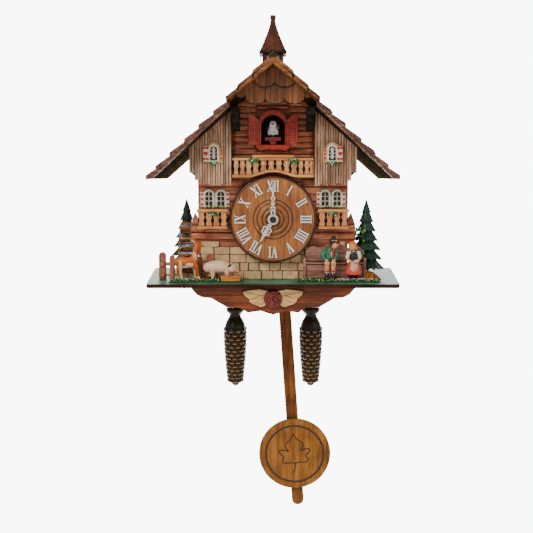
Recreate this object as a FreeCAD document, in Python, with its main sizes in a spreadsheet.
import FreeCAD, Part
import math
import os

# A chalet-style cuckoo clock for the wall.
# x runs to the right, y towards the wall, z up. The wall is the plane y = 0,
# so a piece that stands "d" millimetres off the wall has y = -d.
# Heights in the sketches are counted from the top of the base platform; every
# body is then lowered by the hanging height, which puts the centre of the
# hanging hole at z = 0.

doc = FreeCAD.newDocument("cuckoo_clock")
sheet = doc.addObject("Spreadsheet::Sheet", "Sizes")
SIZES = {
    "hang_height": 185.0,        # hanging hole above the platform
    "hanger_radius": 3.75,
    "back_thick": 6.0,
    "cover_thick": 2.0,
    "house_half": 78.0,
    "wall_thick": 4.0,
    "log_face": 102.0,           # off the wall, front of the log boards
    "log_thick": 4.0,
    "stone_thick": 2.5,
    "siding_face": 120.0,
    "siding_thick": 4.0,
    "roof_under": 211.9,         # underside of the roof at the ridge
    "roof_slope": 0.88,
    "roof_board": 5.33,          # measured upright
    "eave_height": 104.5,
    "porch_half": 42.0,
    "porch_back": 133.0,
    "porch_front": 170.0,
    "porch_slope": 0.762,
    "porch_under": 213.2,
    "barge_thick": 3.0,
    "platform_depth": 145.0,
    "platform_thick": 4.0,
    "platform_front_half": 127.3,
    "platform_rear_half": 138.5,
    "apron_face": 133.0,
    "apron_thick": 4.0,
    "dial_height": 63.2,
    "dial_face": 113.0,
    "door_half": 12.3,
    "door_low": 139.0,
    "door_spring": 157.2,        # where the arch of the door starts
    "shutter_pivot_x": 13.2,
    "shutter_pivot_d": 110.7,
    "shutter_open": 15.0,        # degrees off the wall when open
    "shutter_thick": 1.6,
    "gear_gap": 12.0,            # minute axis to motion axis
    "arbor_radius": 1.5,
    "pipe_radius": 3.0,
    "run_clearance": 0.05,
    "pendulum_height": 147.0,
    "pendulum_tilt": 4.0,
    "wire_d": 37.5,
    "bob_distance": 360.0,
    "bob_radius": 41.5,
    "cone_x": 41.6,
    "cone_d": 70.0,
    "hook_drop": 8.0,
    "mill_x": 91.75,
    "mill_d": 70.0,
    "mill_height": 29.5,
    "mat_thick": 1.2,
    "boy_x": 58.5,
    "girl_x": 82.5,
    "figure_d": 124.0,
}
for row, (word, value) in enumerate(SIZES.items(), start=1):
    sheet.set(f"A{row}", word)
    sheet.set(f"B{row}", str(value))
    sheet.setAlias(f"B{row}", word)
doc.recompute()
S = type("S", (), SIZES)
LOWER = "-Sizes.hang_height"


def vec(x, y, z=0.0):
    return FreeCAD.Vector(x, y, z)


def put(obj, x="0", d="0", h="0"):
    """Place a piece: x to the right, d off the wall, h above the platform."""
    obj.setExpression("Placement.Base.x", x)
    obj.setExpression("Placement.Base.y", f"-({d})")
    obj.setExpression("Placement.Base.z", f"{LOWER} + ({h})")


def turn(obj, axis, degrees):
    obj.Placement = FreeCAD.Placement(obj.Placement.Base,
                                      FreeCAD.Rotation(axis, degrees))


def body(name, x="0", d="0", h="0"):
    piece = doc.addObject("PartDesign::Body", name)
    piece.Label = name
    put(piece, x, d, h)
    return piece


def draw(sk, loop):
    if loop[0] == "circle":
        _, cx, cy, r = loop
        sk.addGeometry(Part.Circle(vec(cx, cy), vec(0, 0, 1), r))
        return
    # a point of four numbers is an arc that goes through the first two
    start = loop[-1][-2:]
    for p in loop:
        end = p[-2:]
        if len(p) == 4:
            sk.addGeometry(Part.Arc(vec(*start), vec(*p[:2]), vec(*end)))
        else:
            sk.addGeometry(Part.LineSegment(vec(*start), vec(*end)))
        start = end


def sketch(piece, plane, loops, lift):
    sk = piece.newObject("Sketcher::SketchObject",
                         f"{piece.Name}_outline{len(piece.Group)}")
    face = next(f for f in piece.Origin.OriginFeatures
                if f.Role == plane + "_Plane")
    sk.AttachmentSupport = (face, [""])
    sk.MapMode = "FlatFace"
    sk.setExpression("AttachmentOffset.Base.z", lift)
    for loop in loops:
        draw(sk, loop)
    return sk


def pad(piece, plane, loops, lift, length):
    sk = sketch(piece, plane, loops, lift)
    f = piece.newObject("PartDesign::Pad", f"{piece.Name}_pad{len(piece.Group)}")
    f.Profile = sk
    f.setExpression("Length", length)
    doc.recompute()
    return f


def pocket(piece, plane, loops, lift, length):
    before = piece.Shape.Volume
    sk = sketch(piece, plane, loops, lift)
    f = piece.newObject("PartDesign::Pocket",
                        f"{piece.Name}_cut{len(piece.Group)}")
    f.Profile = sk
    f.setExpression("Length", length)
    doc.recompute()
    assert piece.Shape.Volume < before - 1e-3, (piece.Name, "cut nothing")
    return f


def slab(piece, loops, front, back):
    """A plate seen from the front, between two distances off the wall."""
    return pad(piece, "XZ", loops, back, f"({front}) - ({back})")


def carve(piece, loops, front, deep):
    """Cut into a plate from its front."""
    return pocket(piece, "XZ", loops, front, deep)


def revolve(piece, plane, axis, loops, angle="360"):
    sk = sketch(piece, plane, loops, "0")
    f = piece.newObject("PartDesign::Revolution",
                        f"{piece.Name}_turned{len(piece.Group)}")
    f.Profile = sk
    f.ReferenceAxis = (sk, [axis])
    f.setExpression("Angle", angle)
    doc.recompute()
    return f


def box(x0, y0, x1, y1):
    return [(x0, y0), (x1, y0), (x1, y1), (x0, y1)]


def mirror(loop):
    if loop[0] == "circle":
        return ("circle", -loop[1], loop[2], loop[3])
    return [tuple(v if k % 2 else -v for k, v in enumerate(p)) for p in loop]


def both(loop):
    return [loop, mirror(loop)]


def arch(half, low, spring):
    """A doorway outline with a round top."""
    return [(-half, low), (half, low), (half, spring),
            (0, spring + half, -half, spring)]


def roof_line(x, lift=0.0):
    return S.roof_under + lift - S.roof_slope * abs(x)


# ---------------------------------------------------------------- the house
def gable_outline(half, low=0.0, lift=0.0):
    return [(-half, low), (half, low), (half, roof_line(half, lift)),
            (0, roof_line(0, lift)), (-half, roof_line(half, lift))]


back = body("back_panel")
slab(back, [gable_outline(S.house_half)], "Sizes.back_thick", "0")
carve(back, [box(-56.1, 13.9, 56.1, 126.1)], "Sizes.cover_thick", "Sizes.cover_thick")
carve(back, [box(-50, 20, 50, 120), ("circle", 0, S.hang_height, 6.0)],
      "Sizes.back_thick", "Sizes.back_thick")
SCREWS = [(sx * 53, h) for sx in (-1, 1) for h in (17, 123)]
carve(back, [("circle", x, h, 1.25) for x, h in SCREWS], "5", "3")

cover = body("back_cover")
slab(cover, [box(-56, 14, 56, 126)], "Sizes.cover_thick", "0")
vents = [box(-24, 58 + 6 * k, 24, 60.5 + 6 * k) for k in range(5)]
carve(cover, vents + [("circle", x, h, 1.25) for x, h in SCREWS], "2", "2")
carve(cover, [("circle", x, h, 2.6) for x, h in SCREWS], "1", "1")

screws = body("cover_screws")
slab(screws, [("circle", x, h, 2.5) for x, h in SCREWS], "1", "0")
slab(screws, [("circle", x, h, 1.2) for x, h in SCREWS], "5", "0.5")

eyelet = body("hanger_eyelet", h="Sizes.hang_height")
slab(eyelet, [("circle", 0, 0, 5.95)], "7", "0")
slab(eyelet, [("circle", 0, 0, 8.0)], "7", "6")
carve(eyelet, [("circle", 0, 0, S.hanger_radius)], "7", "7")

walls = body("side_walls")
inner = S.house_half - S.wall_thick
side = [(inner, 0), (S.house_half, 0), (S.house_half, roof_line(S.house_half)),
        (inner, roof_line(inner))]
slab(walls, both(side), "Sizes.log_face - Sizes.log_thick", "Sizes.back_thick")
pocket(walls, "YZ", [("circle", -S.mill_d, S.mill_height, 2.56)],
       "-73", "6")
pocket(walls, "YZ", [box(-62, 48 + 6 * k, -38, 50.5 + 6 * k) for k in range(5)],
       "79", "6")

logs = body("log_front")
ears = [(S.house_half, 0), (S.house_half, 36), (86, 40), (86, 57), (81.5, 70),
        (S.house_half, 63), (S.house_half, roof_line(S.house_half))]
slab(logs, [ears + [(0, roof_line(0))] + mirror(ears)[::-1]],
     "Sizes.log_face", "Sizes.log_face - Sizes.log_thick")
carve(logs, [arch(S.door_half, S.door_low, S.door_spring),
             ("circle", 0, S.dial_height, 4.2)], "Sizes.log_face", "Sizes.log_thick")
pitch = 4.07
grooves = []
for k in range(34):
    h = 40.5 + k * pitch
    half = min(84.0 if h < 57 else 77.9, (S.roof_under - h) / S.roof_slope - 1.0)
    if h < 166 and h > 130:
        grooves += both(box(17.5, h, half, h + 0.7))
    elif half > 6 and abs(h - S.dial_height) < 5.5:
        grooves += both(box(6, h, half, h + 0.7))
    elif half > 6:
        grooves.append(box(-half, h, half, h + 0.7))
carve(logs, grooves, "Sizes.log_face", "0.6")

stone = body("stone_front")
slab(stone, [[(-76, 0), (76, 0), (76, 39.4), (70, 39.4), (70, 33.6), (-56, 33.6),
              (-56, 39.4), (-76, 39.4)]],
     "Sizes.log_face + Sizes.stone_thick", "Sizes.log_face")
COURSES = [0, 8.6, 17.2, 26.0, 33.6]
carve(stone, [box(-77, h - 0.4, 77, h + 0.4) for h in COURSES[1:4]],
      "Sizes.log_face + Sizes.stone_thick", "0.8")
joints = []
for k, (low, high) in enumerate(zip(COURSES, COURSES[1:])):
    for n in range(11):
        x = -68 + n * 13.6 + (6.0 if k % 2 else 0) + 2.2 * math.sin(2.3 * n + k)
        if abs(x) < 72:
            joints.append(box(x - 0.4, low + 0.5, x + 0.4, high - 0.5))
carve(stone, joints, "Sizes.log_face + Sizes.stone_thick", "0.7")

# -------------------------------------------------------------- the base
base = body("base_platform")
r = 4.0
fx, rx, dp = S.platform_front_half, S.platform_rear_half, S.platform_depth
bend = r * (1 - math.sqrt(0.5))
pad(base, "XY", [[(-rx, 0), (-fx, -dp + r), (-fx + bend, -dp + bend, -fx + r, -dp),
                  (fx - r, -dp), (fx - bend, -dp + bend, fx, -dp + r), (rx, 0)]],
    "-Sizes.platform_thick", "Sizes.platform_thick")
pocket(base, "XY", [box(-16, -42, 16, -33)], "1", "Sizes.platform_thick + 2")

half_apron = [(84, -4), (83.4, -5.5), (78, -12), (72.4, -15), (62.6, -16), (56, -20),
              (51, -22.8), (47.5, -25.2), (34.5, -25.4), (25.6, -30.8), (12.6, -29),
              (6, -31.2)]
apron = body("base_apron")
slab(apron, [half_apron + [(0, -32.8)] + mirror(half_apron)[::-1]],
     "Sizes.apron_face", "Sizes.apron_face - Sizes.apron_thick")

carving = body("apron_carvings")
leaf = [(7.4, -8.4), (15, -6.2), (22.8, -7.1), (28, -7.6), (32.6, -9.4), (29, -13),
        (25.5, -15.5), (24.8, -18.6), (27, -20.5), (24.4, -22.5), (19.5, -21.5),
        (13.8, -23.7), (14.5, -26), (12.6, -27.6), (10, -24.8), (9.2, -21.4),
        (10.6, -16.2)]
slab(carving, both(leaf), "Sizes.apron_face + 3", "Sizes.apron_face")
slab(carving, [("circle", 0, -16.2, 10.2)], "Sizes.apron_face + 3.5", "Sizes.apron_face")
slab(carving, [("circle", 0, -16.2, 7.4)], "Sizes.apron_face + 5", "Sizes.apron_face")
slab(carving, [("circle", 0, -16.2, 4.2)], "Sizes.apron_face + 6.5", "Sizes.apron_face")

# ------------------------------------------------------------------ roof
SLANT = 0.341                     # the roof reaches forward towards the ridge
FRONT = 154.0


def front_edge(x, ahead=0.0):
    return -(FRONT + ahead - SLANT * (abs(x) - S.porch_half))


def trim(ahead):
    """Plan outline of everything in front of the slanted roof edge."""
    return [(-140, front_edge(140, ahead)), (-S.porch_half, front_edge(42, ahead)),
            (-S.porch_half, -S.porch_back), (S.porch_half, -S.porch_back),
            (S.porch_half, front_edge(42, ahead)), (140, front_edge(140, ahead)),
            (140, -175), (-140, -175)]


def eave_x(lift):
    return (S.roof_under + lift - S.eave_height) / S.roof_slope


top = S.roof_board
roof = body("roof_boards")
slab(roof, [[(-eave_x(top), S.eave_height), (-eave_x(0), S.eave_height),
             (0, roof_line(0)), (eave_x(0), S.eave_height),
             (eave_x(top), S.eave_height), (0, roof_line(0, top))]], "165", "0")
pocket(roof, "XY", [trim(0)], "240", "160")

shingles = body("roof_shingles")
STEPS = [0, 12, 27, 42, 57, 72, 87, 102, 117, 129.2]
course = [(0, roof_line(0, top)), (0, roof_line(0, top + 2.2))]
for a, b in zip(STEPS, STEPS[1:]):
    course.append((b, roof_line(b, top + 5.2)))
    if b < STEPS[-1]:
        course.append((b, roof_line(b, top + 2.2)))
course += [(STEPS[-1], S.eave_height), (eave_x(top), S.eave_height)]
slab(shingles, both(course), "165", "0")
pocket(shingles, "XY", [trim(0)], "240", "160")
pocket(shingles, "XY", [box(-13.6, -118.6, 13.6, -91.4)], "260", "80")

barge = body("barge_boards")
bands = []
for low, high in ((-0.5, 2.8), (3.4, 5.9)):
    outer = [(S.porch_half, roof_line(S.porch_half, low)),
             (eave_x(low), S.eave_height), (eave_x(high), S.eave_height),
             (S.porch_half, roof_line(S.porch_half, high))]
    bands += both(outer)
slab(barge, bands, "165", "110")
pocket(barge, "XY", [trim(S.barge_thick)], "240", "160")
behind = [(-140, front_edge(140)), (-S.porch_half, front_edge(42)), (-30, -140), (-30, -90),
          (-140, -90)]
pocket(barge, "XY", both(behind), "240", "160")

rafters = body("gable_rafters")
right = [(16.5, 209.0), (15.3, 206.4), (28.5, 198.6), (27.2, 195.8), (43.8, 187.6),
         (45.0, 185.0), (41.8, 184.8), (41.8, S.porch_under - 41.8 * S.porch_slope)]
slab(rafters, [[(0, 219.3)] + right + [(0, S.porch_under)] + mirror(right)[::-1]],
     "Sizes.porch_front", "Sizes.porch_back")
slab(rafters, [[(0, 216), (-7.5, 213.6), (-1.2, 224), (1.2, 224), (7.5, 213.6)]],
     "Sizes.porch_front", "Sizes.porch_front - 14")

gable = body("gable_panel")


def porch_line(x, lift=-0.05):
    return S.porch_under + lift - S.porch_slope * abs(x)


slab(gable, [[(-36, 177), (36, 177), (36, porch_line(36)), (0, porch_line(0)),
              (-36, porch_line(36))]], "152", "146")
slab(gable, [[(-18, 193), (18, 193), (18, porch_line(18, -0.5)), (0, porch_line(0, -0.5)),
              (-18, porch_line(18, -0.5))]], "154", "151")
# the rows of shingle tabs are parted by pointed slots
slots = [[(x - 1.1, 176), (x + 1.1, 176), (x, 185)] for x in (-26, -7, 12, 31)]
carve(gable, slots, "152", "2")
carve(gable, [[(-1.1, 192), (1.1, 192), (0, 199)]], "154", "1.5")

stub = body("roof_brackets")
steps = [(-102, 154), (-116, 154), (-118, 156), (-118, 161), (-126, 161), (-128, 163),
         (-128, 168), (-137, 168), (-139, 170), (-139, 175.3), (-102, 175.3)]
pad(stub, "YZ", [steps], "34", "7.3")
pad(stub, "YZ", [steps], "-41.3", "7.3")

spire = body("spire", d="105")
tower = 13.0
seat = [(-tower, roof_line(tower, top)), (0, roof_line(0, top)),
        (tower, roof_line(tower, top)), (tower, 223.4), (-tower, 223.4)]
slab(spire, [seat], "13", "-13")
# a square neck, then a square cap with hollow curved sides and a small knob
pad(spire, "XY", [box(-10.8, -10.8, 10.8, 10.8)], "223.4", "7")
FLARE = [(14.0, 230.4), (14.0, 233.0), (10.2, 237.5), (7.3, 243.5), (4.8, 252),
         (3.3, 259), (2.7, 263.6)]
slab(spire, [FLARE + mirror(FLARE)[::-1]], "14", "-14")
waste = FLARE + [(16, 263.7), (16, 230.3)]
pocket(spire, "YZ", both(waste), "15", "30")
knob = [(0, 263), (2.7, 263.6), (3.0, 266.5, 0, 269.4)]
revolve(spire, "XZ", "V_Axis", [knob])

# ------------------------------------------------------------ the front
siding = body("siding_panels")
EDGES = [42.3, 47.9, 53.2, 58.5, 63.7, 69.0, 74.4, 79.9, 85.3]
ENDS = [96.6, 98.2, 97.2, 97.6, 99.0, 98.4, 102.3, 110.3]
plank_loop = []
for a, b, h in zip(EDGES, EDGES[1:], ENDS):
    plank_loop += [(a, h), (b, h)]
plank_loop += [(EDGES[-1], roof_line(EDGES[-1], -0.05)), (EDGES[0], roof_line(EDGES[0], -0.05))]
slab(siding, both(plank_loop), "Sizes.siding_face", "Sizes.siding_face - Sizes.siding_thick")
seams = []
for x in EDGES[1:-1]:
    seams += both(box(x - 0.25, 90, x + 0.25, 180))
carve(siding, seams, "Sizes.siding_face", "0.7")
battens = []
for x in (46.5, 70):
    battens += both(box(x, 114, x + 4, 140))
slab(siding, battens, "Sizes.siding_face - Sizes.siding_thick", "Sizes.log_face")

frame = body("door_frame")
slab(frame, [arch(15.3, S.door_low - 0.3, 159.6), arch(S.door_half, S.door_low, S.door_spring)],
     "Sizes.log_face + 7", "Sizes.log_face")
sill = [(17, 138.7), (17, 136.4), (13, 133.2), (5, 135.2)]
slab(frame, [sill + [(0, 134.2)] + mirror(sill)[::-1]], "Sizes.log_face + 10", "Sizes.log_face")
PIVOT = S.shutter_pivot_x
lugs = both(box(12.4, 138.7, 14.2, 140.1)) + both(box(12.4, 163.0, 14.2, 164.4))
slab(frame, lugs, "Sizes.shutter_pivot_d + 1.3", "Sizes.log_face + 7")
pins = [("circle", side * PIVOT, -S.shutter_pivot_d, 0.6) for side in (-1, 1)]
pad(frame, "XY", pins, "139", "25")

leaf_outline = [(1.75, 139.4), (12.6, 139.4), (12.6, 169.6), (9, 168.8), (5, 166.8), (1.75, 164.6)]
louvres = [box(3.4, 142 + 3.1 * k, 11.2, 143.6 + 3.1 * k) for k in range(8)]
for name, side in (("shutter_left", -1), ("shutter_right", 1)):
    leaf_body = body(name, x=f"{side} * Sizes.shutter_pivot_x", d="Sizes.shutter_pivot_d")
    turn(leaf_body, vec(0, 0, 1), 180 + S.shutter_open if side < 0 else -S.shutter_open)
    slab(leaf_body, [leaf_outline], "Sizes.shutter_thick / 2", "-Sizes.shutter_thick / 2")
    # slats: shallow steps on both faces
    carve(leaf_body, louvres, "Sizes.shutter_thick / 2", "0.45")
    carve(leaf_body, louvres, "0.45 - Sizes.shutter_thick / 2", "0.45")
    slab(leaf_body, [box(0, 140.5, 2.5, 162.6)], "0.5", "-0.5")
    pad(leaf_body, "XY", [("circle", 0, 0, 1.25)], "140.5", "22.1")
    pocket(leaf_body, "XY", [("circle", 0, 0, 0.66)], "180", "60")

chamber = body("bird_chamber")
slab(chamber, [box(-14, 136, 14, 138.9)], "Sizes.log_face - Sizes.log_thick", "60")
slab(chamber, both(box(12.6, 138.0, 14, 165)) + both(box(3.2, 138.0, 5, 142)),
     "Sizes.log_face - Sizes.log_thick", "60")

carriage = body("bird_carriage")
slab(carriage, [box(-2.5, 139.4, 2.5, 143.7)], "112", "66")
slab(carriage, [box(-8, 143.6, 8, 146.8)], "113", "108")

balcony = body("balcony_main")
ring = 46.0                       # clears the dial


def over_dial(x):
    rise = ring ** 2 - x ** 2
    return S.dial_height + math.sqrt(rise) if rise > 0 else 0


span = [x * 41.5 / 16 for x in range(-16, 17)]
rail_low = [(x, max(105.4, over_dial(x))) for x in span]
rail_high = [(x, max(109.4, over_dial(x) + 3.0)) for x in span]
slab(balcony, [rail_low + rail_high[::-1]], "118", "115")
slab(balcony, [box(-41.5, 110, 41.5, 111.6)], "116", "Sizes.log_face")
slab(balcony, [box(-41.5, 123.2, 41.5, 126.0)], "118.5", "115")
slab(balcony, [box(-21, 125.9, 21.8, 129.2)], "119", "115")
slab(balcony, both(box(39, 111, 41.5, 123.4)), "116", "Sizes.log_face")
slab(balcony, both(box(39, 123.2, 41.5, 126)), "116", "Sizes.log_face")
BALUSTERS = [-37.5, -31, -24, -14.7, -6.9, 0.9, 8.7, 16.5, 25, 31.8, 38.2]
for x in BALUSTERS:
    half = 1.9
    slab(balcony, [[(x - half, 108), (x + half, 108), (x + half, 113), (x + 1.1, 116.5),
                    (x + half, 120), (x + half, 123.4), (x - half, 123.4),
                    (x - half, 120), (x - 1.1, 116.5), (x - half, 113)]], "117.5", "115.5")

windows = body("windows")
plate, shut = [], []
for s in (-1, 1):
    flip = (lambda L: L) if s > 0 else mirror
    c = 60.0
    plate += [flip([(c - 7.2, 121), (c + 7.2, 121), (c + 7.2, 134.4), (c, 141.6, c - 7.2, 134.4)])]
    shut += [flip(box(64.6, 121.6, 70.7, 138.0)), flip(box(50.3, 121.6, 55.0, 138.0))]
slab(windows, plate, "Sizes.siding_face + 1.6", "Sizes.siding_face")
slab(windows, shut, "Sizes.siding_face + 2.6", "Sizes.siding_face")
panes = []
for s in (-1, 1):
    flip = (lambda L: L) if s > 0 else mirror
    panes += [flip([(56.5, 123), (63.5, 123), (63.5, 133.8), (60, 137.3, 56.5, 133.8)])]
carve(windows, panes, "Sizes.siding_face + 1.6", "0.9")
low_plate, low_panes = [], []
for x in (-60.3, 60.3):
    low_plate.append(box(x - 15.3, 74.0, x + 15.3, 93.8))
    for c in (x - 6.2, x + 6.2):
        low_panes.append([(c - 3.5, 77.2), (c + 3.5, 77.2), (c + 3.5, 87.9), (c, 91.4, c - 3.5, 87.9)])
slab(windows, low_plate, "Sizes.log_face + 1.6", "Sizes.log_face")
low_shut = [box(s * x - 2, 75, s * x + 2, 93) for s in (-1, 1) for x in (47.2, 73.6)]
slab(windows, low_shut, "Sizes.log_face + 2.6", "Sizes.log_face")
carve(windows, low_panes, "Sizes.log_face + 1.6", "0.9")

porches = body("side_balconies")
rails = both(box(46.2, 70.2, 78.6, 73.6)) + both(box(46.9, 53.1, 77.6, 56.2))
slab(porches, rails, "115", "112.5")
slab(porches, both(box(46.9, 54, 77.6, 55.4)), "113", "Sizes.log_face")
slab(porches, both(box(76, 70.2, 78.6, 73.6)) + both(box(76, 55, 77.6, 71)), "113",
     "Sizes.log_face")
for k in range(4):
    x = 50.5 + 7.8 * k
    slab(porches, both([(x - 2.4, 56), (x + 2.4, 56), (x + 2.4, 60), (x + 1.4, 63.2), (x + 2.4, 66.4),
                        (x + 2.4, 70.4), (x - 2.4, 70.4), (x - 2.4, 66.4), (x - 1.4, 63.2),
                        (x - 2.4, 60)]), "114.4", "112.8")


# Figures, trees and flowers are built from round primitives and fused.
def prim(kind, name, at, axis=(0, 0, 1), degrees=0.0, **dims):
    p = doc.addObject("Part::" + kind, name)
    for key, value in dims.items():
        p.setExpression(key, str(value))
    x, d, h = at
    p.Placement = FreeCAD.Placement(vec(x, -d, h), FreeCAD.Rotation(vec(*axis), degrees))
    return p


def egg(name, at, rx, rd, rh, axis=(0, 0, 1), degrees=0.0):
    """A rounded lump turned about its longest axis."""
    sizes = {(1, 0, 0): rx, (0, 1, 0): rd, (0, 0, 1): rh}
    way = max(sizes, key=sizes.get)
    long = sizes[way]
    wide = (rx + rd + rh - long) / 2
    edge = doc.addObject("Part::Polygon", name + "_edge")
    angles = [math.radians(-90 + 22.5 * k) for k in range(9)]
    edge.Nodes = [vec(abs(wide * math.cos(t)) if 0 < k < 8 else 0, 0, long * math.sin(t))
                  for k, t in enumerate(angles)]
    edge.Close = True
    p = doc.addObject("Part::Revolution", name)
    p.Source, p.Axis, p.Solid = edge, vec(0, 0, 1), True
    x, d, h = at
    p.Placement = FreeCAD.Placement(vec(x, -d, h), FreeCAD.Rotation(vec(*axis), degrees)
                                    * FreeCAD.Rotation(vec(0, 0, 1), vec(*way)))
    return p


def rod(name, start, end, radius, radius_end=None):
    """A round limb between two points, x to the right, d off the wall, h up."""
    a, b = vec(start[0], -start[1], start[2]), vec(end[0], -end[1], end[2])
    way = b - a
    if radius_end is None:
        p = doc.addObject("Part::Cylinder", name)
        p.setExpression("Radius", str(radius))
    else:
        p = doc.addObject("Part::Cone", name)
        p.setExpression("Radius1", str(radius))
        p.setExpression("Radius2", str(radius_end))
    p.setExpression("Height", f"{way.Length:.4f}")
    p.Placement = FreeCAD.Placement(a, FreeCAD.Rotation(vec(0, 0, 1), way))
    return p


def fuse(name, shapes, x="0", d="0", h="0"):
    whole = doc.addObject("Part::MultiFuse", name)
    whole.Label = name
    whole.Shapes = shapes
    put(whole, x, d, h)
    doc.recompute()
    return whole


bunches = []
for n, (x, d, h, wide) in enumerate([(-19.5, 119.8, 122.5, 5.6), (21, 119.8, 122.5, 5.6),
                                     (-62, 116.2, 70.8, 7.0), (62, 116.2, 70.8, 7.0),
                                     (-60, 122.6, 118.6, 8.6), (60, 122.6, 118.6, 8.6),
                                     (-60.3, 105.2, 74.2, 7.5), (60.3, 105.2, 74.2, 7.5)]):
    bunches.append(prim("Box", f"bunch{n}", (x - wide, d + 1.1, h - 1.8), Length=2 * wide,
                        Width=2.2, Height=3.6))
fuse("flower_garlands", bunches)

# ---------------------------------------------------------------- dial
dial = body("dial", h="Sizes.dial_height")
f = S.dial_face
prof = [(-104.5, 4.1), (-104.5, 44.6), (-106, 45.3), (-116, 45.3), (-118.2, 44.4), (-118.6, 43.2),
        (-118, 42), (-f - 0.6, 41.4), (-f, 40.6), (-f, 21), (-f - 1, 19.8), (-f, 18.4),
        (-f, 16.3), (-f - 0.8, 14), (-f + 0.3, 12), (-f + 0.3, 10.5), (-f, 9.5), (-f, 4.1)]
revolve(dial, "YZ", "H_Axis", [prof])

NUMERALS = ["XII", "I", "II", "III", "IIII", "V", "VI", "VII", "VIII", "IX", "X", "XI"]
WIDTH = {"I": 2.5, "V": 5.6, "X": 5.6}
first, second = [], []
for hour, word in enumerate(NUMERALS):
    a = math.radians(30 * hour)
    total = sum(WIDTH[c] for c in word)
    u = -total / 2

    def stroke(u0, u1, w=0.62):
        # from the foot (radius 28) to the head (radius 39.5)
        pts = []
        for uu, rr in ((u0 - w, 28), (u0 + w, 28), (u1 + w, 39.5), (u1 - w, 39.5)):
            pts.append((uu * math.cos(a) + rr * math.sin(a), rr * math.cos(a) - uu * math.sin(a)))
        return pts
    for c in word:
        mid = u + WIDTH[c] / 2
        if c == "I":
            first.append(stroke(mid, mid))
        elif c == "V":
            first.append(stroke(mid, mid - 2.0))
            second.append(stroke(mid, mid + 2.0))
        else:
            first.append(stroke(mid - 1.9, mid + 1.9))
            second.append(stroke(mid + 1.9, mid - 1.9))
        u += WIDTH[c]
numerals = body("dial_numerals", h="Sizes.dial_height")
slab(numerals, first, "Sizes.dial_face + 1", "Sizes.dial_face")
slab(numerals, second, "Sizes.dial_face + 1", "Sizes.dial_face")

nut = body("dial_nut", h="Sizes.dial_height")
hexagon = [(7 * math.cos(math.pi * k / 3), 7 * math.sin(math.pi * k / 3)) for k in range(6)]
slab(nut, [hexagon, ("circle", 0, 0, 4.03)], "Sizes.dial_face + 2", "Sizes.dial_face")

# hands: stem with a cross-shaped ornament and a spear point
minute = body("minute_hand", h="Sizes.dial_height")
half = [(1.0, 3), (1.0, 10), (3.2, 13), (1.2, 16), (1.0, 22), (3.0, 25), (1.0, 28), (0.9, 31)]
slab(minute, [half + [(0, 37.6)] + mirror(half)[::-1]], "119.6", "118.6")
slab(minute, [("circle", 0, 0, 4.6)], "119.6", "118.6")
carve(minute, [("circle", 0, 0, 1.52)], "120", "2")

hour = body("hour_hand", h="Sizes.dial_height")
turn(hour, vec(0, 1, 0), 210)
half = [(1.2, 4), (1.2, 8), (4.4, 11.2), (5.2, 13.4), (4.2, 15.4), (1.4, 17), (1.2, 20.5)]
slab(hour, [half + [(0, 26.6)] + mirror(half)[::-1]], "117.4", "116.4")
slab(hour, [("circle", 0, 0, 5.4)], "117.4", "116.4")
carve(hour, [("circle", 0, 0, S.pipe_radius + 0.02)], "118", "2")

cap = body("hand_nut", h="Sizes.dial_height")
slab(cap, [("circle", 0, 0, 3.4)], "121.2", "119.6")
slab(cap, [("circle", 0, 0, 2.2)], "123.2", "121.2")
carve(cap, [("circle", 0, 0, 1.52)], "122.2", "3")

# ------------------------------------------------------------ movement
case = body("movement_case", h="Sizes.dial_height")
slab(case, [box(-28, -28, 28, 28)], "98", "78")
carve(case, [box(-26, -26, 26, 26)], "96", "18")
slab(case, [("circle", 0, 0, 4.0)], "115", "97")
carve(case, [("circle", 0, 0, S.pipe_radius + S.run_clearance)], "116", "22")
slab(case, [("circle", S.gear_gap, 0, 1.0)], "97", "82")

lid = body("movement_cover", h="Sizes.dial_height")
slab(lid, [box(-28, -28, 28, 28)], "78", "76")
carve(lid, [("circle", 0, 0, S.arbor_radius + S.run_clearance)], "79", "4")
# battery tray: a plate carried on two rails, with an end wall at each side
slab(lid, both(box(26, -26, 28, 26)), "76", "55")
slab(lid, [box(-28, -26, 28, 26)], "70", "68")

cells = body("batteries", h="Sizes.dial_height")
for h in (-13.4, 13.4):
    pad(cells, "YZ", [("circle", -54.8, h, 13.0)], "-25", "48")
    pad(cells, "YZ", [("circle", -54.8, h, 3.0)], "23", "2")


def gear(x, teeth, module, phase):
    """Outline of a spur gear; phase is the direction of its first tooth."""
    pts = []
    mean = teeth * module / 2
    for k in range(teeth):
        mid = phase + 2 * math.pi * k / teeth
        for off, rr in ((-0.27, -1.1), (-0.13, 0.75), (0.13, 0.75), (0.27, -1.1)):
            ang = mid + off * 2 * math.pi / teeth
            pts.append((x + (mean + rr * module) * math.cos(ang), (mean + rr * module) * math.sin(ang)))
    return pts


arbor = body("minute_arbor", h="Sizes.dial_height")
slab(arbor, [("circle", 0, 0, S.arbor_radius)], "122", "71")
slab(arbor, [gear(0, 12, 0.5, 0)], "87", "84")
slab(arbor, [("circle", 0, 0, 6.0)], "75.4", "70.6")

hours = body("hour_wheel", h="Sizes.dial_height")
slab(hours, [gear(0, 40, 0.48, math.pi / 40)], "91.5", "88.5")
slab(hours, [("circle", 0, 0, S.pipe_radius)], "117.8", "88.5")
carve(hours, [("circle", 0, 0, S.arbor_radius + S.run_clearance)], "118", "32")

motion = body("motion_wheel", h="Sizes.dial_height")
slab(motion, [gear(S.gear_gap, 36, 0.5, math.pi / 36)], "87", "84")
slab(motion, [gear(S.gear_gap, 10, 0.48, 0)], "92", "86")
carve(motion, [("circle", S.gear_gap, 0, 1.06)], "95", "14")

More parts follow.
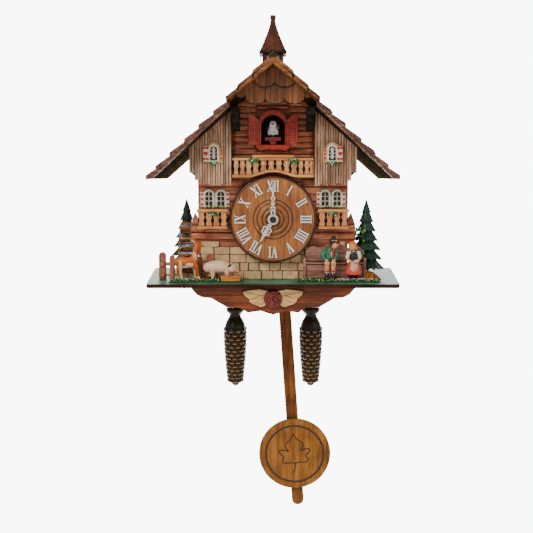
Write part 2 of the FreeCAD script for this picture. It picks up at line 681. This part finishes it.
board = body("circuit_board")
slab(board, [box(-62, 104, -34, 134)], "93.6", "92")
slab(board, [("circle", x, h, 1.5) for x in (-59, -37) for h in (107, 131)], "98", "93.6")
slab(board, [box(-54, 112, -44, 122)], "92", "90")

horn = body("speaker")
pad(horn, "YZ", [("circle", -50, 60.7, 20)], "70", "4")
pad(horn, "YZ", [("circle", -50, 60.7, 10)], "60", "10")

# ------------------------------------------------------------ pendulum
drive = body("pendulum_drive")
slab(drive, [box(-14, 112, 14, 158)], "28", "Sizes.back_thick")
slab(drive, [("circle", 0, S.pendulum_height, 1.5)], "40.6", "27")
slab(drive, [("circle", 0, S.pendulum_height, 2.6)], "40.6", "39.4")

TILT = -S.pendulum_tilt           # the disc hangs a little to the right


def hanging(name):
    piece = body(name, h="Sizes.pendulum_height")
    turn(piece, vec(0, 1, 0), TILT)
    return piece


wire = hanging("pendulum_wire")
slab(wire, [("circle", 0, 0, 4.0)], "39", "36")
pad(wire, "XY", [("circle", 0, -S.wire_d, 0.8)], "-171", "168.5")
slab(wire, [("circle", 0, -171, 1.2)], "38.7", "31.8")
carve(wire, [("circle", 0, 0, 1.56)], "40", "6")

pole = hanging("pendulum_rod")
slab(pole, [[(-6.9, -166), (-6.9, -416.2), (0, -423.1, 6.9, -416.2), (6.9, -166)],
            ("circle", 0, -171, 1.24)], "36", "33")

bob = hanging("pendulum_bob")
R = S.bob_radius
slab(bob, [("circle", 0, -S.bob_distance, R)], "40.5", "36")
slab(bob, [("circle", 0, -S.bob_distance, R - 1.2)], "41.2", "40")
carve(bob, [("circle", 0, -S.bob_distance, 34.2), ("circle", 0, -S.bob_distance, 32.4)],
      "41.2", "1.1")
blade = []
for k in range(9):
    ang = math.radians(90 + (k - 4) * 34)
    for frac, rr in ((-6, 8.5), (0, 20.0 if k % 2 == 0 else 15.5), (6, 8.5)):
        a2 = ang + math.radians(frac * 1.6)
        blade.append((rr * math.cos(a2), -S.bob_distance + rr * math.sin(a2)))
carve(bob, [blade], "41.2", "0.6")

# ------------------------------------------------------------- weights
staples = []
for n, s in enumerate((-1, 1)):
    x = s * S.cone_x
    staples.append(prim("Cylinder", f"staple_bar{n}", (x, 74, -S.hook_drop), (1, 0, 0), -90,
                        Radius=1.2, Height=8))
    for m, d in enumerate((66.0, 74.0)):
        staples.append(prim("Box", f"staple_leg{n}{m}", (x - 1.2, d + 0.8, -S.hook_drop - 1.2),
                            Length=2.4, Width=1.6, Height=5.2))
fuse("chain_staples", staples)

for name, s in (("left", -1), ("right", 1)):
    links = [prim("Torus", f"link_{name}{k}", (0, 0, -7.0 - 3.6 * k),
                  (0, 1, 0) if k % 2 == 0 else (1, 0, 0), 90, Radius1=2.6, Radius2=0.65)
             for k in range(5)]
    eye = prim("Cylinder", f"eye_{name}", (0, 1.3, 0), (1, 0, 0), -90, Radius=2.9, Height=2.6)
    eye.Placement = FreeCAD.Placement(vec(0, -1.3, 0), FreeCAD.Rotation(vec(1, 0, 0), -90))
    stem = prim("Cylinder", f"stem_{name}", (0, 0, -5.2), Radius=0.8, Height=3.0)
    tail = prim("Cylinder", f"tail_{name}", (0, 0, -26.9), Radius=0.8, Height=3.2)
    solid = doc.addObject("Part::MultiFuse", f"chain_solid_{name}")
    solid.Shapes = links + [eye, stem, tail]
    hole = prim("Cylinder", f"hole_{name}", (0, 0, 0), Radius=1.26, Height=6)
    hole.Placement = FreeCAD.Placement(vec(0, -3, 0), FreeCAD.Rotation(vec(1, 0, 0), -90))
    chain = doc.addObject("Part::Cut", f"chain_{name}")
    chain.Label = f"chain_{name}"
    chain.Base, chain.Tool = solid, hole
    put(chain, f"{s} * Sizes.cone_x", "Sizes.cone_d", "-Sizes.hook_drop")
    cone = body(f"cone_{name}", f"{s} * Sizes.cone_x", "Sizes.cone_d", "-Sizes.hook_drop")
    cone_prof = [(0, -26.9), (9.4, -26.9), (9.4, -32.4), (6.2, -34.2), (6.4, -36), (9.8, -41),
                 (12.2, -48), (12.9, -55), (12.6, -66), (11.6, -80), (9.8, -96), (7.6, -109),
                 (5.6, -113.6), (0, -115.2)]
    revolve(cone, "XZ", "V_Axis", [cone_prof])

# --------------------------------------------------------- mill wheel
mill = body("mill_wheel", "-Sizes.mill_x", "Sizes.mill_d", "Sizes.mill_height")
for lift in ("-8.25", "6.75"):
    pad(mill, "YZ", [("circle", 0, 0, 24.5), ("circle", 0, 0, 20.5)], lift, "1.5")
    spokes = []
    for k in range(3):
        a = math.pi * k / 3
        c, n = math.cos(a), math.sin(a)
        spokes.append([(u * c - v * n, u * n + v * c) for u, v in
                       ((-21, -1.1), (21, -1.1), (21, 1.1), (-21, 1.1))])
    for spoke in spokes:
        pad(mill, "YZ", [spoke], lift, "1.5")
paddles = []
for k in range(10):
    a = 2 * math.pi * (k + 0.25) / 10
    c, n = math.cos(a), math.sin(a)
    paddles.append([(u * c - v * n, u * n + v * c) for u, v in
                    ((20, -0.9), (28, -0.9), (28, 0.9), (20, 0.9))])
pad(mill, "YZ", paddles, "-8.25", "16.5")
pad(mill, "YZ", [("circle", 0, 0, 4.2)], "-8.25", "19.6")
pad(mill, "YZ", [("circle", 0, 0, 2.5)], "-8.25", "27.5")

# ---------------------------------------------------------------- yard
firs = []
for n, (x, d, high, wide) in enumerate(((-99.5, 20.6, 72.6, 20.0), (98.4, 84, 84.4, 19.4))):
    firs.append(prim("Cylinder", f"trunk{n}", (x, d, 0), Radius=3, Height=20))
    for k in range(6):
        low = 7 + k * (high - 14) / 6.4
        wide_k = wide * (1 - 0.155 * k)
        tall = (high - low) if k == 5 else (high - 7) / 4.2
        firs.append(prim("Cone", f"tier{n}{k}", (x, d, low), Radius1=wide_k,
                         Radius2=0.6 if k == 5 else wide_k * 0.35, Height=tall))
fuse("fir_trees", firs)

yard = body("fence_and_trough")
for x0, x1, h in ((-117.2, -112.1, 29.2), (-106.4, -101.8, 26), (-77.9, -73.4, 25),
                  (-68.5, -62.6, 27.5)):
    slab(yard, [box(x0, 0, x1, h)], "113.5", "109")
for low, high in ((15, 18.8), (4.1, 6.5)):
    slab(yard, [box(-118, low, -62, high)], "114.3", "111")
slab(yard, [("circle", -114.7, 16.9, 2.6), ("circle", -114.7, 5.6, 2.6)], "116", "113")
trough = [(-52.3, 1.2), (-33.6, 1.2), (-32.6, 6.6), (-53.3, 6.6)]
slab(yard, [trough], "133", "126")
pocket(yard, "XY", [box(-51.8, -131.8, -34.1, -127.2)], "6.6", "3.5")

D = 123.5
deer_parts = [
    egg("deer_barrel", (-88, D, 19.5), 11.0, 3.6, 5.4, (0, 1, 0), -6),
    rod("deer_neck", (-80.5, D, 22), (-77.5, D, 35.5), 3.5, 2.0),
    egg("deer_head", (-75.6, D, 37.2), 4.6, 2.2, 2.5, (0, 1, 0), 12),
    egg("deer_tail", (-97.6, D, 22.6), 1.6, 1.2, 2.2),
    rod("deer_ear1", (-77.0, D - 0.8, 37.4), (-81.2, D - 1.8, 42.2), 1.1, 0.4),
    rod("deer_ear2", (-76.8, D + 0.8, 37.4), (-80.2, D + 1.8, 43), 1.1, 0.4)]
for n, (x, d, foot) in enumerate(((-96.6, -1.9, -97.6), (-94.2, 1.9, -93.4), (-82.6, -1.7, -79.8),
                                  (-80.8, 1.7, -76.2))):
    deer_parts.append(rod(f"deer_leg{n}", (foot, D + d, S.mat_thick), (x, D + d, 19), 1.0, 1.9))
fuse("deer", deer_parts)

D = 120.2
pig_parts = [
    egg("pig_barrel", (-56.0, D, 14.4), 14.6, 5.2, 7.8),
    egg("pig_head", (-42.6, D, 13.2), 6.0, 4.2, 5.0, (0, 1, 0), 18),
    rod("pig_snout", (-40, D, 12.4), (-35.6, D, 10.6), 2.7, 2.0),
    rod("pig_ear1", (-44, D - 2, 16.5), (-41.2, D - 3, 21.0), 1.8, 0.5),
    rod("pig_ear2", (-44, D + 2, 16.5), (-41.2, D + 3, 21.0), 1.8, 0.5),
    prim("Torus", "pig_tail", (-71.2, D, 17), (1, 0, 0), 90, Radius1=1.9, Radius2=0.6)]
for n, (x, d) in enumerate(((-64.5, -2.6), (-62, 2.6), (-50, -2.6), (-47.5, 2.6))):
    pig_parts.append(rod(f"pig_leg{n}", (x, D + d, S.mat_thick), (x, D + d, 12), 1.5, 2.4))
fuse("pig", pig_parts)

bench = body("bench")
crest = [(94, 2), (94, 19), (94, 33.5), (88, 36.6), (80, 36.2), (74, 33.2), (70, 36.4), (66.8, 37.2),
         (63.7, 35.2), (60.6, 37.2), (57.4, 36.4), (53.4, 33.2), (47.4, 36.2), (39.4, 36.6),
         (33.4, 33.5), (33.4, 2)]
slab(bench, [crest], "110.5", "108")
slab(bench, [box(33.4, 17.2, 94, 19)], "117", "110.5")
slab(bench, [box(33.4, 2, 94, 17.2)], "115.5", "113.5")
slab(bench, [box(31.3, 0, 34, 24.6), box(93.4, 0, 96.1, 24.6)], "117", "107.5")
carve(bench, [("circle", 63.7, 28.5, 2.6)], "111", "4")

mats = body("flower_meadows")
pad(mats, "XY", [box(-106, -134, -31, -115), box(26, -134, 109, -118.2)], "0", "Sizes.mat_thick")
dots = []
for n in range(18):
    x = -103 + 2.75 * n
    dots.append(("circle", x, -132.2 + 0.9 * math.sin(1.7 * n), 0.8))
for n in range(29):
    dots.append(("circle", 28.5 + 2.75 * n, -132.2 + 0.9 * math.sin(2.1 * n), 0.8))
pad(mats, "XY", dots, "0.5", "1.7")

# Two children, leaning a little towards each other. Each turns on a pin at the feet.
boy = [
    rod("boy_pin", (0, -4.6, 2.4), (0, 4.6, 2.4), 0.9),
    rod("boy_stance", (-3.4, 0, 2.4), (2.6, 0, 2.4), 1.2),
    rod("boy_boot1", (-3.4, 0, 0.4), (-3.0, 0, 4.2), 2.3, 1.9),
    rod("boy_boot2", (2.4, 0, 0.4), (2.4, 0, 4.2), 2.3, 1.9),
    rod("boy_leg1", (-3.0, 0, 3.8), (-2.4, 0, 18), 1.6, 2.6),
    rod("boy_leg2", (2.4, 0, 3.8), (2.2, 0, 18), 1.6, 2.6),
    egg("boy_shorts", (-0.2, 0, 17.4), 5.4, 3.9, 4.6), egg("boy_jacket", (0.4, 0, 25.0), 5.6, 4.0, 7.6),
    rod("boy_arm1", (-4.4, 0.6, 30), (-9.0, 1.6, 22), 2.2, 1.6),
    rod("boy_arm2", (4.6, 0.6, 30), (9.0, 1.8, 24), 2.2, 1.6),
    rod("boy_neck", (0.8, 0.1, 29), (2.3, 0.3, 35), 1.7),
    egg("boy_head", (2.6, 0.4, 37.0), 4.2, 4.0, 4.6),
    egg("boy_hat_brim", (2.8, 0.2, 40.4), 6.0, 4.8, 1.1, (0, 1, 0), 8),
    rod("boy_hat", (2.8, 0.2, 40.4), (3.6, 0.2, 45.2), 3.9, 2.4),
    rod("boy_feather", (5.0, 0.2, 39.8), (8.4, 0.2, 46.4), 0.9, 0.4)]
fuse("boy", boy, "Sizes.boy_x", "Sizes.figure_d", "Sizes.mat_thick")
girl = [
    rod("girl_pin", (0, -4.6, 2.4), (0, 4.6, 2.4), 0.9),
    rod("girl_stance", (-2.6, 0, 2.4), (2.6, 0, 2.4), 1.2),
    rod("girl_shoe1", (-2.6, 0, 0.4), (-2.6, 0, 4), 2.0, 1.6),
    rod("girl_shoe2", (2.6, 0, 0.4), (2.6, 0, 4), 2.0, 1.6),
    rod("girl_leg1", (-2.6, 0, 3.6), (-2.4, 0, 10), 1.5, 1.7),
    rod("girl_leg2", (2.6, 0, 3.6), (2.4, 0, 10), 1.5, 1.7),
    rod("girl_skirt", (0, 0, 8.2), (0, 0, 21.4), 8.2, 4.2),
    egg("girl_bodice", (0, 0, 24.6), 4.6, 3.6, 6.2),
    egg("girl_sleeve1", (-4.6, 0.4, 27.2), 2.8, 2.6, 3.0),
    egg("girl_sleeve2", (4.6, 0.4, 27.2), 2.8, 2.6, 3.0),
    rod("girl_arm1", (-5.4, 0.8, 26), (-6.8, 2.4, 20), 1.7, 1.2),
    rod("girl_arm2", (5.2, 0.8, 26), (5.4, 2.8, 19.6), 1.7, 1.2),
    egg("girl_basket", (5.0, 3.6, 17.8), 3.2, 2.6, 2.4),
    egg("girl_head", (-1.0, 0.4, 35.4), 4.1, 3.9, 4.5),
    egg("girl_scarf", (-0.6, -0.6, 37.0), 4.9, 4.6, 5.2),
    rod("girl_neck", (-0.4, 0, 29), (-0.8, 0.2, 33), 1.6),
    egg("girl_knot", (2.9, 0, 32.0), 1.8, 1.6, 1.6)]
fuse("girl", girl, "Sizes.girl_x", "Sizes.figure_d", "Sizes.mat_thick")

bird = [
    egg("bird_body", (0, 0, 7.3), 5.2, 7.8, 5.6, (1, 0, 0), -18),
    egg("bird_head", (0, 5.0, 13.2), 3.9, 3.9, 4.0),
    rod("bird_beak", (0, 8.2, 12.8), (0, 12.0, 11.8), 1.4, 0.3),
    rod("bird_tail", (0, -5.4, 6.4), (0, -11.4, 8.4), 2.2, 2.8),
    egg("bird_wing1", (-4.6, -0.4, 7.6), 1.3, 6.0, 3.8, (1, 0, 0), -14),
    egg("bird_wing2", (4.6, -0.4, 7.6), 1.3, 6.0, 3.8, (1, 0, 0), -14),
    rod("bird_leg1", (-2.0, 0, 0), (-2.0, 0, 4), 0.9), rod("bird_leg2", (2.0, 0, 0), (2.0, 0, 4), 0.9)]
fuse("cuckoo_bird", bird, "0", "110.2", "146.8")

# ------------------------------------------------------------- hand-in
doc.recompute()
names = [o for o in doc.Objects if o.TypeId == "PartDesign::Body"]
names += [o for o in doc.Objects if o.TypeId in ("Part::MultiFuse", "Part::Cut")
          and "solid" not in o.Name]
for o in doc.Objects:
    assert not {"Invalid", "Error"} & set(o.State), (o.Name, o.State)
os.makedirs("parts", exist_ok=True)
for o in names:
    assert not o.Shape.isNull() and o.Shape.isValid(), (o.Label, "bad shape")
    assert o.Shape.Solids and o.Shape.Volume > 1, (o.Label, "no solid")
    o.Shape.exportStep(f"parts/{o.Label}.step")
    b = o.Shape.BoundBox
    print(f"{o.Label:18s} {len(o.Shape.Solids):3d} solids {o.Shape.Volume:9.0f} mm3 "
          f"x {b.XMin:.1f}..{b.XMax:.1f} d {-b.YMax:.1f}..{-b.YMin:.1f} "
          f"h {b.ZMin + S.hang_height:.1f}..{b.ZMax + S.hang_height:.1f}")
print(len(names), "parts written")
